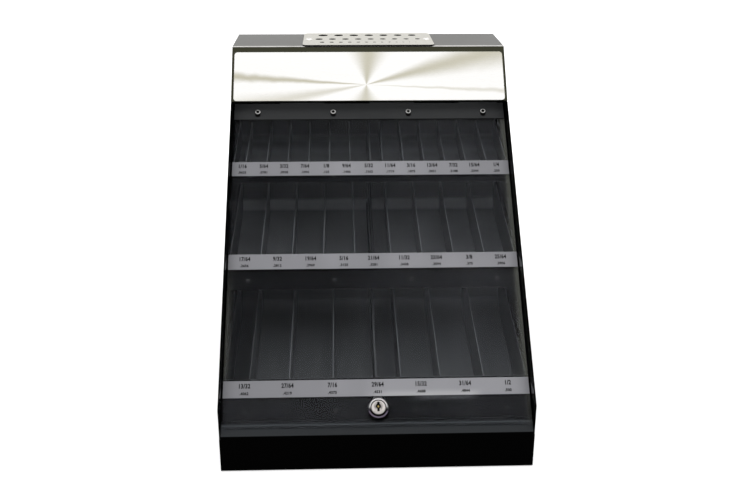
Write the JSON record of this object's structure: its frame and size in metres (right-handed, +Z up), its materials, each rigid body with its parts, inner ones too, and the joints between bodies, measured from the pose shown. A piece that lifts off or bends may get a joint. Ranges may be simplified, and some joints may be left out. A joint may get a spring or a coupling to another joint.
{
  "type": "drill bit display case",
  "caption": "Wedge-shaped countertop steel case with sloping trays for drill bits behind a clear, top-hinged, locking door, with a drill gauge on top.",
  "frame": {"origin": "middle of the case's footprint, on the surface that it stands on", "axes": "+Z up, +Y from the user to the back of the case, +X to the right of someone who faces the sloping door"},
  "size_m": [0.3556, 0.4424, 0.4219],
  "materials": {
    "black_paint": "satin",
    "tray_paint": "satin",
    "stainless_plate": "brushed",
    "gauge_plate": "satin",
    "zinc": "satin",
    "rivet_metal": "satin",
    "lock_chrome": "polished",
    "clear_acrylic": "clear, polished",
    "label_grey": "matte"
  },
  "bodies": {
    "case": {"side_panel_left": "black_paint", "side_panel_right": "black_paint", "back_panel": "black_paint", "base_pan": "black_paint", "hood": "black_paint", "header_plate": "stainless_plate", "drill_gauge": "gauge_plate", "gauge_screws": "zinc", "hinge_leaf_case": "black_paint", "hinge_pin": "zinc", "upper_tray_right": "tray_paint", "upper_tray_left": "tray_paint", "upper_dividers_right": "tray_paint", "upper_dividers_left": "tray_paint", "upper_rail_front": "tray_paint", "upper_rail_rear": "tray_paint", "middle_tray_right": "tray_paint", "middle_tray_left": "tray_paint", "middle_dividers_right": "tray_paint", "middle_dividers_left": "tray_paint", "middle_rail_front": "tray_paint", "middle_rail_rear": "tray_paint", "lower_tray_right": "tray_paint", "lower_tray_left": "tray_paint", "lower_dividers_right": "tray_paint", "lower_dividers_left": "tray_paint", "lower_rail_front": "tray_paint", "lower_rail_rear": "tray_paint"},
    "door": {"door_window": "clear_acrylic", "hinge_leaf_door": "black_paint", "hinge_rivets": "rivet_metal", "label_strip_lower": "label_grey", "label_strip_middle": "label_grey", "label_strip_upper": "label_grey", "lock_body": "lock_chrome", "lock_nut": "zinc"},
    "lock": {"lock_plug": "lock_chrome", "lock_cam": "zinc", "lock_screw": "zinc"}
  },
  "joints": [
    {"name": "door_hinge", "type": "hinge", "parent": "case", "child": "door", "pos_m": [0, 0.09518, 0.35282], "axis": [-1, 0, 0], "range_deg": [0, 50]},
    {"name": "lock_turn", "type": "hinge", "parent": "door", "child": "lock", "pos_m": [0.0013, -0.20158, 0.06846], "axis": [0, 0.687, -0.7266], "range_deg": [0, 180]}
  ]
}
